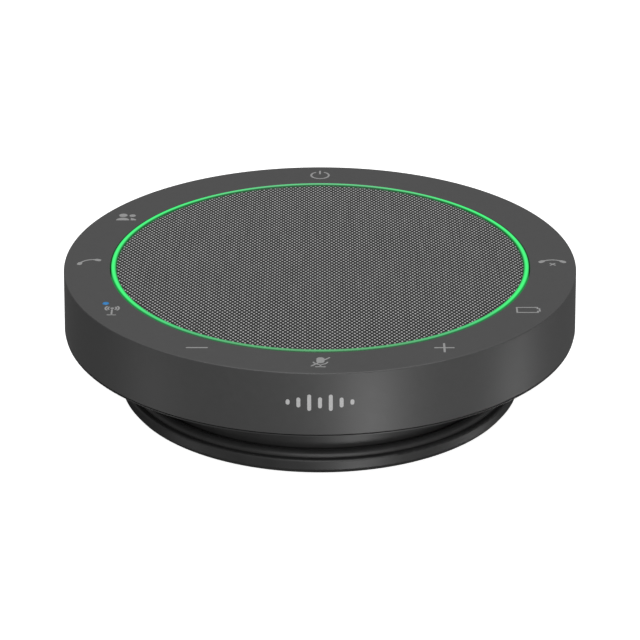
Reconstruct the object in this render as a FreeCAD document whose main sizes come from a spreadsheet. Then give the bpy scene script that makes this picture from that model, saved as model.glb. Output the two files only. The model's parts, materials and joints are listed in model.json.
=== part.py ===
"""A conference speakerphone: a flat disc with a fabric grille, a light ring and nine keys
under one soft skin, on a narrower base round which its lead is stowed.

Millimetres. +Z is up, the front faces -Y, and the origin is the centre of the footprint.
"""
import FreeCAD
import Part
import Sketcher
import math
import os
import re
from FreeCAD import Placement, Rotation, Vector

DIMENSIONS = [
    # disc and skin
    ("disc_radius", 66.25), ("disc_top", 36.0), ("skin_thickness", 0.9), ("skin_foot", 19.65),
    ("skin_edge", 0.3), ("wall_lean", 0.3),
    ("skin_bore", 54.1), ("running_gap", 0.05), ("overcut", 1.0),
    # keys, in polar places round the disc
    ("key_circle", 59.65), ("key_inner", 55.4), ("key_outer", 63.9), ("key_angle", 16.0),
    ("window_inner", 55.2), ("window_outer", 64.1), ("window_angle", 16.4), ("pad_foot", 34.0),
    ("plunger_radius", 1.7), ("guide_radius", 1.9), ("plunger_foot", 31.0), ("lone_key", 90.0),
    ("row_start", 150.0), ("row_step", 30.0), ("row_count", 8), ("lens_radius", 0.7),
    ("lens_circle", 59.45), ("lens_place", 205.5), ("lens_foot", 34.6), ("lens_hole", 0.75),
    # frame under the skin
    ("pocket_floor", 33.0), ("deck_foot", 31.8), ("frame_foot", 19.5), ("frame_bore", 54.15),
    ("shelf_bore", 50.8), ("shelf_foot", 29.8), ("shelf_top", 31.0), ("post_circle", 57.0),
    ("post_radius", 1.7), ("post_start", 15.0), ("post_count", 6), ("thread_radius", 0.8),
    ("thread_hole", 0.85),
    # main board and what it carries
    ("board_bore", 51.2), ("board_radius", 62.6), ("board_foot", 27.2), ("board_top", 28.8),
    ("board_hole", 1.1), ("switch_side", 4.5), ("switch_top", 30.4), ("stem_radius", 1.1),
    ("stem_hole", 1.2), ("stem_foot", 29.6), ("stem_hole_foot", 29.2), ("chip_side", 7.0),
    ("chip_foot", 26.1), ("can_length", 15.0), ("can_width", 8.0), ("can_foot", 24.8),
    ("socket_length", 6.0), ("socket_width", 4.0), ("socket_foot", 24.2), ("screw_head", 1.9),
    ("board_head_foot", 26.1), ("board_screw_tip", 30.8),
    # microphones
    ("mic_circle", 60.0), ("mic_start", 30.0), ("mic_count", 4), ("mic_length", 3.5),
    ("mic_width", 2.65), ("mic_foot", 26.2), ("mic_boot_radius", 2.3), ("mic_port", 0.6),
    # light ring
    ("light_inner", 52.67), ("light_outer", 53.95), ("light_top", 36.0), ("light_leg_inner", 51.0),
    ("light_leg_outer", 51.8), ("light_roof", 32.9), ("light_shoulder", 33.9),
    ("led_board_bore", 50.9), ("led_board_radius", 54.0), ("led_board_top", 31.6),
    ("led_circle", 53.0), ("led_count", 24), ("led_length", 0.9), ("led_width", 1.7),
    ("led_top", 32.2),
    # grille
    ("cloth_radius", 52.35), ("cloth_top", 35.9), ("plate_radius", 52.2), ("plate_foot", 34.0),
    ("plate_top", 35.0), ("plate_hole", 2.2), ("plate_ring_step", 7.8), ("plate_rings", 6),
    ("plate_ring_growth", 6),
    ("carrier_bore", 49.6), ("carrier_radius", 50.7),
    # loudspeaker and its chamber
    ("chamber_radius", 44.4), ("chamber_wall", 1.8), ("chamber_foot", 11.0),
    ("chamber_floor", 12.4), ("baffle_foot", 28.6), ("baffle_top", 30.2), ("baffle_bore", 31.2),
    ("baffle_radius", 50.6), ("gasket_inner", 31.3), ("gasket_outer", 33.2),
    ("flange_foot", 30.7), ("flange_top", 31.9), ("flange_radius", 36.0), ("flange_bore", 29.25),
    ("basket_waist", 17.5), ("basket_foot", 20.0), ("basket_wall", 1.0), ("basket_bore", 9.9),
    ("basket_window_inner", 19.5), ("basket_window_outer", 28.4), ("basket_window_top", 29.6),
    ("basket_window_angle", 36.0), ("basket_windows", 6), ("magnet_radius", 16.5),
    ("magnet_foot", 13.0), ("coil_gap_inner", 8.6), ("coil_gap_outer", 9.8),
    ("coil_gap_floor", 15.0), ("coil_inner", 9.05), ("coil_outer", 9.4), ("coil_foot", 16.0),
    ("coil_top", 25.2), ("cone_inner", 9.45), ("cone_outer", 25.55), ("cone_foot", 24.8),
    ("cone_wall", 0.4), ("roll_circle", 27.4), ("roll_radius", 1.8), ("roll_wall", 0.4),
    ("cap_sphere", 18.3), ("cap_centre", 9.6), ("cap_wall", 0.4),
    ("speaker_screw_circle", 34.3), ("speaker_screw_count", 4), ("speaker_screw_start", 45.0),
    ("speaker_head", 1.6),
    ("speaker_head_top", 32.9), ("speaker_screw_tip", 28.8), ("speaker_hole", 0.95),
    # battery
    ("battery_length", 62.0), ("battery_width", 46.0), ("battery_foot", 4.0),
    ("battery_top", 10.2), ("pad_margin", 6.0),
    # lower shell
    ("shell_foot", 17.9), ("shell_lip_foot", 18.7), ("shell_lip_inner", 65.0),
    ("shell_radius", 66.1), ("shell_bevel_top", 19.15), ("shell_top", 19.45),
    ("shell_floor", 20.1), ("upstand_inner", 62.7), ("upstand_outer", 63.9),
    ("upstand_top", 24.0),
    # neck
    ("neck_bore", 45.3), ("neck_radius", 47.3), ("ledge_radius", 48.3), ("ledge_foot", 13.2),
    ("ledge_top", 14.05), ("ledge_start", 120.0), ("ledge_sweep", 230.0), ("ledge_root", 0.5),
    ("boss_circle", 42.0),
    ("boss_radius", 3.4), ("boss_top", 10.8), ("boss_count", 6), ("base_thread", 1.0),
    ("base_thread_hole", 1.05), ("base_screw_tip", 9.6), ("base_thread_top", 10.0),
    # base cover and foot
    ("base_radius", 51.8), ("base_foot", 1.5), ("bevel_width", 0.95),
    ("bevel_height", 1.25), ("base_floor", 3.4),
    ("channel_inner", 47.35), ("channel_outer", 50.5), ("channel_floor", 3.75), ("rim_top", 5.4),
    ("rim_edge", 0.6), ("foot_inner", 39.9), ("foot_outer", 46.6), ("foot_seat", 1.9),
    ("foot_gap", 0.05), ("base_head_top", 2.7), ("base_head_hole", 2.1),
    ("notch_floor", 2.2), ("notch_start", 6.0), ("notch_sweep", 78.0),
    # lead and plug
    ("lead_radius", 1.5), ("lead_circle", 48.9), ("lead_upper", 15.6), ("lead_lower", 5.3),
    ("lead_start", 104.0), ("lead_leave", 4.0), ("lead_bend", 20.0), ("boot_inner", 44.7),
    ("boot_outer", 50.9), ("boot_foot", 13.2), ("boot_top", 17.8), ("boot_start", 87.0),
    ("boot_sweep", 10.0), ("nose_circle", 49.5), ("nose_radius", 2.1), ("plug_place", 54.0),
    ("plug_circle", 52.6), ("plug_boot_length", 6.0), ("plug_boot_front", 2.7),
    ("plug_boot_rear", 1.9), ("plug_length", 20.0), ("plug_width", 10.2), ("plug_height", 6.0),
    ("plug_edge", 2.4), ("shell_length", 6.65), ("shell_width", 8.34), ("shell_height", 2.56),
    ("shell_edge", 1.2), ("shell_wall", 0.3), ("shell_depth", 5.9),
]

KEYS = [
    ("power", 90), ("people", 150), ("answer", 180), ("wireless", 210), ("volume_down", 240),
    ("mute", 270), ("volume_up", 300), ("battery", 330), ("end_call", 360),
]
CHIP_PLACES = (0, 60, 180, 240, 270)
SOCKET_PLACES = (150, 285, 330)

doc = FreeCAD.newDocument("speakerphone")
dims = doc.addObject("Spreadsheet::Sheet", "dims")
for row, (alias, number) in enumerate(DIMENSIONS, start=1):
    dims.set(f"A{row}", alias)
    dims.set(f"B{row}", str(number))
    dims.setAlias(f"B{row}", alias)
doc.recompute()

nodes = {}


def formula(text):
    """The text with each of its words read from the sheet."""
    return re.sub(r"[a-z_]+", lambda word: "dims." + word.group(), text)


def size(alias):
    return float(dims.get(alias))


def polar(radius, degrees, height=0.0):
    turn = math.radians(degrees)
    return Vector(radius * math.cos(turn), radius * math.sin(turn), height)


def bind(thing, **sizes):
    """Bind properties of an object to words of the sheet."""
    for name, text in sizes.items():
        thing.setExpression(name, formula(str(text)))
    return thing


def keep(name, thing):
    """Name a finished sub-part, which becomes a node of the assembly."""
    thing.Label = name
    nodes[name] = thing
    return thing


def new_body(name):
    return doc.addObject("PartDesign::Body", "body_" + name)


def new_sketch(body, name, role, turn=0.0):
    """A sketch on one of the body's own planes, an upright one turned round the Z axis."""
    plane = next(item for item in body.Origin.OriginFeatures if item.Role == role)
    sketch = body.newObject("Sketcher::SketchObject", name + "_sketch")
    sketch.AttachmentSupport = [(plane, "")]
    sketch.MapMode = "FlatFace"
    sketch.AttachmentOffset = Placement(Vector(), Rotation(Vector(0, 1, 0), turn))
    return sketch


def outline(body, name, corners, turn=0.0):
    """A closed outline of (radius, height) corners on the half plane at this turn."""
    sketch = new_sketch(body, name, "XZ_Plane", turn)
    count = len(corners)
    first = [Vector(10 + math.cos(6.28 * i / count), 10 + math.sin(6.28 * i / count), 0)
             for i in range(count)]
    sketch.addGeometry([Part.LineSegment(first[i], first[(i + 1) % count])
                        for i in range(count)], False)
    rules = [Sketcher.Constraint("Coincident", i, 2, (i + 1) % count, 1) for i in range(count)]
    sketch.addConstraint(rules)
    for i, (across, up) in enumerate(corners):
        for kind, text in (("DistanceX", across), ("DistanceY", up)):
            rule = sketch.addConstraint(Sketcher.Constraint(kind, -1, 1, i, 1, 10.0))
            word = f"{kind[-1].lower()}{i}"
            sketch.renameConstraint(rule, word)
            sketch.setExpression("Constraints." + word, formula(str(text)))
    return sketch


def turned(body, name, corners, turn=0.0, sweep="360", cut=False, centred=False):
    """A solid of revolution, or a groove, of an outline about the Z axis."""
    sketch = outline(body, name, corners, turn)
    kind = "PartDesign::Groove" if cut else "PartDesign::Revolution"
    feature = body.newObject(kind, name)
    feature.Profile = sketch
    feature.ReferenceAxis = (sketch, ["V_Axis"])
    feature.Midplane = centred
    return bind(feature, Angle=sweep)


def box_corners(inner, outer, foot, top):
    return [(inner, foot), (outer, foot), (outer, top), (inner, top)]


def drilled(body, name, circle, degrees, radius, foot, top, cut=True):
    """A round hole, or a round post, between two heights at a polar place."""
    sketch = new_sketch(body, name, "XY_Plane")
    sketch.addGeometry(Part.Circle(polar(5, degrees), Vector(0, 0, 1), 1), False)
    turn = math.radians(degrees)
    for word, rule, text in (
            ("r", Sketcher.Constraint("Radius", 0, 1.0), radius),
            ("x", Sketcher.Constraint("DistanceX", -1, 1, 0, 3, 1.0),
             f"{circle} * {math.cos(turn):.9f}"),
            ("y", Sketcher.Constraint("DistanceY", -1, 1, 0, 3, 1.0),
             f"{circle} * {math.sin(turn):.9f}")):
        sketch.renameConstraint(sketch.addConstraint(rule), word)
        sketch.setExpression("Constraints." + word, formula(text))
    sketch.setExpression("AttachmentOffset.Base.z", formula(foot))
    feature = body.newObject("PartDesign::Pocket" if cut else "PartDesign::Pad", name)
    feature.Profile = sketch
    feature.Reversed = cut
    return bind(feature, Length=f"{top} - {foot}")


def spread(body, name, feature, count, sweep):
    """Repeat a feature round the Z axis; a full turn holds the copies evenly."""
    axis = next(item for item in body.Origin.OriginFeatures if item.Role == "Z_Axis")
    pattern = body.newObject("PartDesign::PolarPattern", name)
    pattern.Originals = [feature]
    pattern.Axis = (axis, [""])
    bind(pattern, Angle=sweep, Occurrences=count)
    body.Tip = pattern
    return pattern


def at_the_keys(body, name, make):
    """Make a feature at the lone key, and again along the row of the other eight."""
    make(name + "_lone", size("lone_key"))
    first = make(name + "_row", size("row_start"))
    spread(body, name + "_spread", first, "row_count", "row_step * (row_count - 1)")


def edge_names(shape, radius, height):
    """The circular edges of this radius at this height."""
    found = []
    for i, edge in enumerate(shape.Edges, start=1):
        curve = edge.Curve
        if isinstance(curve, Part.Circle) and abs(curve.Radius - radius) < 1e-4:
            if abs(edge.CenterOfMass.z - height) < 1e-4:
                found.append(f"Edge{i}")
    return found


def rounded(body, name, radius, height, edge):
    """Round the circular edge at this radius and height."""
    doc.recompute()
    before = body.Tip
    fillet = body.newObject("PartDesign::Fillet", name)
    fillet.Base = (before, edge_names(before.Shape, radius, height))
    return bind(fillet, Radius=edge)


def ring(name, corners):
    """A sub-part that is one plain solid of revolution."""
    body = new_body(name)
    turned(body, name + "_turned", corners)
    return keep(name, body)


def cylinder(name, radius, foot, top, place=Vector()):
    rod = doc.addObject("Part::Cylinder", name)
    rod.Placement = Placement(place, Rotation())
    bind(rod, Radius=radius, Height=f"{top} - {foot}")
    rod.setExpression("Placement.Base.z", formula(foot))
    return rod


def block(name, length, width, foot, top, place=Vector(), turn=0.0):
    """A box centred on a place, its length along the turned X axis."""
    turning = Rotation(Vector(0, 0, 1), turn)
    box = doc.addObject("Part::Box", name)
    bind(box, Length=length, Width=width, Height=f"{top} - {foot}")
    doc.recompute()
    corner = turning.multVec(Vector(-box.Length.Value / 2, -box.Width.Value / 2, 0))
    box.Placement = Placement(place + corner, turning)
    box.setExpression("Placement.Base.z", formula(foot))
    return box


def group(name, pieces):
    """Identical small pieces kept in one node as separate solids."""
    compound = doc.addObject("Part::Compound", name + "_group")
    compound.Links = pieces
    return keep(name, compound)


def joined(name, *pieces):
    fuse = doc.addObject("Part::MultiFuse", name)
    fuse.Shapes = list(pieces)
    return fuse


def taken(name, base, tool):
    cut = doc.addObject("Part::Cut", name)
    cut.Base = base
    cut.Tool = tool
    return cut


def places(count, start=0.0):
    number = int(size(count))
    return [start + 360.0 * i / number for i in range(number)]


def screws(name, circle, angles, head_radius, head_foot, head_top, shaft_radius, shaft_foot,
           shaft_top):
    made = []
    for i, degrees in enumerate(angles):
        place = polar(size(circle), degrees)
        head = cylinder(f"{name}_head_{i}", head_radius, head_foot, head_top, place)
        shaft = cylinder(f"{name}_shaft_{i}", shaft_radius, shaft_foot, shaft_top, place)
        made.append(joined(f"{name}_{i}", head, shaft))
    return group(name, made)


def soft_skin():
    """The seamless cover: the key ring on top and the side wall, with a window for each key."""
    body = new_body("soft_skin")
    under = "disc_top - skin_thickness"
    inside = "disc_radius - skin_thickness"
    shoulder = "disc_radius - wall_lean"
    turned(body, "skin_turned", [
        (inside, "skin_foot"), ("disc_radius", "skin_foot"), (shoulder, "disc_top"),
        ("skin_bore", "disc_top"), ("skin_bore", under), (inside, under)])
    rounded(body, "skin_edge_round", size("disc_radius") - size("wall_lean"), size("disc_top"),
            "skin_edge")
    at_the_keys(body, "skin_window", lambda name, turn: turned(
        body, name, box_corners("window_inner", "window_outer", "pad_foot", "disc_top + overcut"),
        turn, "window_angle", cut=True, centred=True))
    keep("soft_skin", body)


def top_frame():
    """The rigid ring that carries the skin: key pockets, guides, light shelf, skirt, posts."""
    body = new_body("top_frame")
    outside = "disc_radius - skin_thickness - running_gap"
    roof = "disc_top - skin_thickness - running_gap"
    turned(body, "frame_turned", [
        ("shelf_bore", "shelf_foot"), ("window_inner", "shelf_foot"),
        ("window_inner", "deck_foot"), ("window_outer", "deck_foot"),
        ("window_outer", "frame_foot"), (outside, "frame_foot"), (outside, roof),
        ("frame_bore", roof), ("frame_bore", "shelf_top"), ("shelf_bore", "shelf_top")])
    at_the_keys(body, "frame_pocket", lambda name, turn: turned(
        body, name, box_corners("window_inner", "window_outer", "pocket_floor", "disc_top"),
        turn, "window_angle", cut=True, centred=True))
    at_the_keys(body, "frame_guide", lambda name, turn: drilled(
        body, name, "key_circle", turn, "guide_radius", "shelf_foot", "disc_top"))
    post = drilled(body, "frame_post", "post_circle", size("post_start"), "post_radius",
                   "board_top", "deck_foot", cut=False)
    spread(body, "frame_posts", post, "post_count", "360")
    hole = drilled(body, "frame_thread", "post_circle", size("post_start"), "thread_hole",
                   "board_top", "pocket_floor")
    spread(body, "frame_threads", hole, "post_count", "360")
    keep("top_frame", body)


def keys():
    """Nine keys: a patch of the skin on a rigid pad with a plunger, each over its stem."""
    for name, degrees in KEYS:
        body = new_body("key_" + name)
        turned(body, f"{name}_pad", box_corners("key_inner", "key_outer", "pad_foot", "disc_top"),
               0.0, "key_angle", centred=True)
        drilled(body, f"{name}_plunger", "key_circle", 0.0, "plunger_radius", "plunger_foot",
                "pad_foot", cut=False)
        if name == "wireless":
            drilled(body, f"{name}_lens_hole", "lens_circle", size("lens_place") - degrees,
                    "lens_hole", "lens_foot", "disc_top")
        body.Placement = Placement(Vector(), Rotation(Vector(0, 0, 1), degrees))
        keep("key_" + name, body)
        stem = cylinder(f"{name}_stem", "stem_radius", "stem_foot", "plunger_foot",
                        polar(size("key_circle"), degrees))
        keep("stem_" + name, stem)
    lens = cylinder("lens", "lens_radius", "lens_foot", "disc_top",
                    polar(size("lens_circle"), size("lens_place")))
    keep("status_lens", lens)


def main_board():
    """The ring-shaped board, its switches, chips, can, sockets, screws and microphones."""
    body = new_body("main_board")
    turned(body, "board_turned", box_corners("board_bore", "board_radius", "board_foot",
                                             "board_top"))
    hole = drilled(body, "board_screw_hole", "post_circle", size("post_start"), "board_hole",
                   "board_foot", "board_top")
    spread(body, "board_screw_holes", hole, "post_count", "360")
    keep("main_board", body)
    switches = []
    for name, degrees in KEYS:
        place = polar(size("key_circle"), degrees)
        case = block(f"{name}_switch", "switch_side", "switch_side", "board_top", "switch_top",
                     place, degrees)
        bore = cylinder(f"{name}_switch_bore", "stem_hole", "stem_hole_foot", "disc_top", place)
        switches.append(taken(f"{name}_switch_case", case, bore))
    group("switch_bodies", switches)
    middle = (size("board_bore") + size("board_radius")) / 2
    group("board_chips", [
        block(f"chip_{i}", "chip_side", "chip_side", "chip_foot", "board_foot",
              polar(middle, degrees), degrees)
        for i, degrees in enumerate(CHIP_PLACES)])
    keep("shield_can", block("can", "can_width", "can_length", "can_foot", "board_foot",
                             polar(middle, 90), 90))
    group("board_sockets", [
        block(f"socket_{i}", "socket_width", "socket_length", "socket_foot", "board_foot",
              polar(middle, degrees), degrees)
        for i, degrees in enumerate(SOCKET_PLACES)])
    screws("board_screws", "post_circle", places("post_count", size("post_start")),
           "screw_head", "board_head_foot", "board_foot", "thread_radius", "board_foot",
           "board_screw_tip")
    spots = [polar(size("mic_circle"), degrees) for degrees in places("mic_count",
                                                                      size("mic_start"))]
    angles = places("mic_count", size("mic_start"))
    group("microphones", [
        block(f"mic_{i}", "mic_length", "mic_width", "mic_foot", "board_foot", spot, degrees)
        for i, (spot, degrees) in enumerate(zip(spots, angles))])
    group("microphone_boots", [
        taken(f"mic_boot_{i}",
              cylinder(f"mic_boot_outer_{i}", "mic_boot_radius", "shell_floor", "mic_foot", spot),
              cylinder(f"mic_boot_bore_{i}", "mic_port", "shell_floor", "mic_foot", spot))
        for i, spot in enumerate(spots)])


def light_ring():
    ring("light_guide", [
        ("light_leg_inner", "led_board_top"), ("light_leg_outer", "led_board_top"),
        ("light_leg_outer", "light_roof"), ("light_outer", "light_roof"),
        ("light_outer", "light_top"), ("light_inner", "light_top"),
        ("light_inner", "light_shoulder"), ("light_leg_inner", "light_shoulder")])
    ring("led_board", box_corners("led_board_bore", "led_board_radius", "shelf_top",
                                  "led_board_top"))
    group("leds", [
        block(f"led_{i}", "led_length", "led_width", "led_board_top", "led_top",
              polar(size("led_circle"), degrees), degrees)
        for i, degrees in enumerate(places("led_count"))])


def grille():
    """The cloth disc, the perforated plate that backs it, and the plate's carrier ring."""
    keep("grille_cloth", cylinder("cloth", "cloth_radius", "plate_top", "cloth_top"))
    body = new_body("grille_plate")
    turned(body, "plate_turned", box_corners("0", "plate_radius", "plate_foot", "plate_top"))
    drilled(body, "plate_hole_centre", "0", 0.0, "plate_hole", "plate_foot", "plate_top")
    for number in range(1, int(size("plate_rings")) + 1):
        hole = drilled(body, f"plate_hole_{number}", f"{number} * plate_ring_step", 0.0,
                       "plate_hole", "plate_foot", "plate_top")
        spread(body, f"plate_holes_{number}", hole, f"{number} * plate_ring_growth", "360")
    keep("grille_plate", body)
    ring("grille_ring", box_corners("carrier_bore", "carrier_radius", "baffle_top",
                                    "plate_foot"))


def loudspeaker():
    """A slim 65 mm full-range driver, face up in a sealed chamber."""
    start = size("speaker_screw_start")
    body = new_body("speaker_chamber")
    inside = "chamber_radius - chamber_wall"
    turned(body, "chamber_turned", [
        ("0", "chamber_foot"), ("chamber_radius", "chamber_foot"),
        ("chamber_radius", "baffle_foot"), ("baffle_radius", "baffle_foot"),
        ("baffle_radius", "baffle_top"), ("baffle_bore", "baffle_top"),
        ("baffle_bore", "baffle_foot"), (inside, "baffle_foot"), (inside, "chamber_floor"),
        ("0", "chamber_floor")])
    hole = drilled(body, "chamber_thread", "speaker_screw_circle", start, "thread_hole",
                   "baffle_foot", "baffle_top")
    spread(body, "chamber_threads", hole, "speaker_screw_count", "360")
    keep("speaker_chamber", body)

    ring("speaker_gasket", box_corners("gasket_inner", "gasket_outer", "baffle_top",
                                       "flange_foot"))
    body = new_body("speaker_basket")
    turned(body, "basket_turned", [
        ("flange_radius", "flange_foot"), ("flange_radius", "flange_top"),
        ("flange_bore", "flange_top"), ("flange_bore", "flange_foot"),
        ("basket_waist - basket_wall", "basket_foot + basket_wall"),
        ("basket_bore", "basket_foot + basket_wall"), ("basket_bore", "basket_foot"),
        ("basket_waist", "basket_foot"),
        ("flange_bore + basket_wall", "flange_foot")])
    window = turned(body, "basket_window", box_corners(
        "basket_window_inner", "basket_window_outer", "basket_foot", "basket_window_top"),
        0.0, "basket_window_angle", cut=True, centred=True)
    spread(body, "basket_openings", window, "basket_windows", "360")
    hole = drilled(body, "basket_hole", "speaker_screw_circle", start, "speaker_hole",
                   "flange_foot", "flange_top")
    spread(body, "basket_holes", hole, "speaker_screw_count", "360")
    keep("speaker_basket", body)

    ring("speaker_magnet", [
        ("0", "magnet_foot"), ("magnet_radius", "magnet_foot"), ("magnet_radius", "basket_foot"),
        ("coil_gap_outer", "basket_foot"), ("coil_gap_outer", "coil_gap_floor"),
        ("coil_gap_inner", "coil_gap_floor"), ("coil_gap_inner", "basket_foot"),
        ("0", "basket_foot")])
    ring("voice_coil", box_corners("coil_inner", "coil_outer", "coil_foot", "coil_top"))
    ring("speaker_cone", [
        ("cone_inner", "cone_foot"), ("cone_outer", "flange_top - cone_wall"),
        ("cone_outer", "flange_top"), ("cone_inner", "cone_foot + cone_wall")])
    rolls = []
    for name, radius in (("roll_outside", "roll_radius"),
                         ("roll_inside", "roll_radius - roll_wall")):
        roll = doc.addObject("Part::Torus", name)
        bind(roll, Radius1="roll_circle", Radius2=radius)
        roll.Angle1 = 0
        roll.Angle2 = 180
        roll.setExpression("Placement.Base.z", formula("flange_top"))
        rolls.append(roll)
    keep("speaker_surround", taken("surround", *rolls))
    domes = []
    for name, radius in (("dome_outside", "cap_sphere"), ("dome_inside", "cap_sphere - cap_wall")):
        dome = doc.addObject("Part::Sphere", name)
        bind(dome, Radius=radius)
        dome.setExpression("Placement.Base.z", formula("cap_centre"))
        domes.append(dome)
    above = cylinder("above_the_coil", "cap_sphere", "coil_top + running_gap", "disc_top")
    common = doc.addObject("Part::Common", "cap")
    common.Base = taken("whole_dome", *domes)
    common.Tool = above
    keep("dust_cap", common)
    screws("speaker_screws", "speaker_screw_circle", places("speaker_screw_count", start),
           "speaker_head", "flange_top", "speaker_head_top", "thread_radius",
           "speaker_screw_tip", "flange_top")


def battery():
    keep("battery", block("cell", "battery_length", "battery_width", "battery_foot",
                          "battery_top"))
    length = "battery_length - 2 * pad_margin"
    width = "battery_width - 2 * pad_margin"
    group("battery_pads", [
        block("pad_below", length, width, "base_floor", "battery_foot"),
        block("pad_above", length, width, "battery_top", "chamber_foot")])


def lower_shell():
    """The pan that closes the disc, with a bevelled lip and the four microphone ports."""
    body = new_body("lower_shell")
    turned(body, "shell_turned", [
        ("neck_bore", "shell_foot"), ("neck_radius", "shell_foot"),
        ("shell_lip_inner", "shell_lip_foot"), ("shell_radius", "shell_bevel_top"),
        ("shell_radius", "shell_top"), ("upstand_outer", "shell_top"),
        ("upstand_outer", "upstand_top"), ("upstand_inner", "upstand_top"),
        ("upstand_inner", "shell_floor"), ("neck_bore", "shell_floor")])
    port = drilled(body, "shell_port", "mic_circle", size("mic_start"), "mic_port",
                   "shell_foot", "shell_floor")
    spread(body, "shell_ports", port, "mic_count", "360")
    keep("lower_shell", body)


def neck_shell():
    """The wall that the lead is wound on, with a ledge for its upper turn and screw bosses."""
    body = new_body("neck_shell")
    turned(body, "neck_turned", box_corners("neck_bore", "neck_radius", "base_floor",
                                            "shell_foot"))
    turned(body, "neck_ledge", box_corners("neck_radius - ledge_root", "ledge_radius", "ledge_foot",
                                           "ledge_top"), size("ledge_start"), "ledge_sweep")
    boss = drilled(body, "neck_boss", "boss_circle", 0.0, "boss_radius", "base_floor",
                   "boss_top", cut=False)
    spread(body, "neck_bosses", boss, "boss_count", "360")
    hole = drilled(body, "neck_thread", "boss_circle", 0.0, "base_thread_hole", "base_floor",
                   "base_thread_top")
    spread(body, "neck_threads", hole, "boss_count", "360")
    turned(body, "neck_slot", box_corners("boot_inner", "boot_outer", "boot_foot", "boot_top"),
           size("boot_start"), "boot_sweep", cut=True)
    keep("neck_shell", body)


def base():
    """The foot flange with its channel and plug notch, the rubber foot and the screws."""
    body = new_body("base_cover")
    turned(body, "base_turned", [
        ("0", "base_foot"), ("foot_inner", "base_foot"), ("foot_inner", "foot_seat"),
        ("foot_outer", "foot_seat"), ("foot_outer", "base_foot"),
        ("base_radius - bevel_width", "base_foot"), ("base_radius", "base_foot + bevel_height"),
        ("base_radius", "rim_top"), ("channel_outer", "rim_top"),
        ("channel_outer", "channel_floor"), ("channel_inner", "channel_floor"),
        ("channel_inner", "base_floor"), ("0", "base_floor")])
    rounded(body, "rim_round", size("base_radius"), size("rim_top"), "rim_edge")
    turned(body, "plug_notch", box_corners("channel_inner", "base_radius + overcut",
                                           "notch_floor", "rim_top + overcut"),
           size("notch_start"), "notch_sweep", cut=True)
    hole = drilled(body, "base_hole", "boss_circle", 0.0, "board_hole", "foot_seat",
                   "base_floor")
    spread(body, "base_holes", hole, "boss_count", "360")
    sink = drilled(body, "base_sink", "boss_circle", 0.0, "base_head_hole", "foot_seat",
                   "base_head_top")
    spread(body, "base_sinks", sink, "boss_count", "360")
    keep("base_cover", body)
    ring("rubber_foot", box_corners("foot_inner + foot_gap", "foot_outer - foot_gap", "0",
                                    "foot_seat"))
    screws("base_screws", "boss_circle", places("boss_count"), "screw_head", "foot_seat",
           "base_head_top", "base_thread", "base_head_top", "base_screw_tip")


def arc(first, middle, last):
    return Part.Arc(first, middle, last).toShape()


def lead():
    """The stowed lead: an upper turn, a ramp down behind, a lower turn, and out to the plug."""
    circle, upper, lower = size("lead_circle"), size("lead_upper"), size("lead_lower")
    start, leave, place = size("lead_start"), size("lead_leave"), size("plug_place")
    half = (upper + lower) / 2
    ramp_circle = math.hypot(circle, (upper - lower) / 2)
    turn = math.radians(place - leave)
    bend = size("lead_bend")
    to_corner = (size("plug_circle") - circle * math.cos(turn)) / math.sin(turn)
    bend_run = bend * math.tan(turn / 2)
    along = polar(1, leave + 90)
    plug_along = polar(1, place + 90)
    left = polar(circle, leave, lower)
    bend_start = left + along * (to_corner - bend_run)
    corner = left + along * to_corner
    bend_end = corner + plug_along * bend_run
    inward = polar(1, (leave + place) / 2 + 180)
    bend_middle = corner + inward * (bend / math.cos(turn / 2) - bend)
    middle = (start + 360) / 2
    edges = [
        arc(polar(circle, start, upper), polar(circle, middle, upper),
            polar(circle, 360, upper)),
        arc(polar(circle, 0, upper), Vector(0, ramp_circle, half), polar(circle, 180, lower)),
        arc(polar(circle, 180, lower), polar(circle, 270 + leave / 2, lower), left),
        Part.LineSegment(left, bend_start).toShape(),
        arc(bend_start, bend_middle, bend_end),
    ]
    wire = Part.Wire(edges)
    route = doc.addObject("Part::Feature", "lead_route")
    route.Shape = wire
    section = doc.addObject("Part::Circle", "lead_section")
    bind(section, Radius="lead_radius")
    section.Placement = Placement(polar(circle, start, upper),
                                  Rotation(Vector(0, 0, 1), polar(1, start + 90)))
    sweep = doc.addObject("Part::Sweep", "lead_sweep")
    sweep.Sections = [section]
    sweep.Spine = (route, [f"Edge{i + 1}" for i in range(len(edges))])
    sweep.Solid = True
    sweep.Frenet = False
    keep("cable", sweep)
    doc.recompute()
    expected = math.pi * size("lead_radius") ** 2 * wire.Length
    print(f"lead {wire.Length:.1f} mm, volume {sweep.Shape.Volume:.1f} of {expected:.1f}")
    return bend_end, place + 90


def cable_boot():
    """The strain relief: a block held in the neck's slot with a round nose over the lead."""
    body = new_body("cable_boot")
    turned(body, "boot_block", box_corners("boot_inner", "boot_outer", "boot_foot", "boot_top"),
           size("boot_start"), "boot_sweep")
    nose = doc.addObject("Part::Torus", "boot_nose")
    bind(nose, Radius1="nose_circle", Radius2="nose_radius",
         Angle3="lead_start - boot_start - boot_sweep")
    nose.Placement = Placement(Vector(), Rotation(Vector(0, 0, 1),
                                                  size("boot_start") + size("boot_sweep")))
    nose.setExpression("Placement.Base.z", formula("lead_upper"))
    keep("cable_boot", joined("boot", body, nose))


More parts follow.
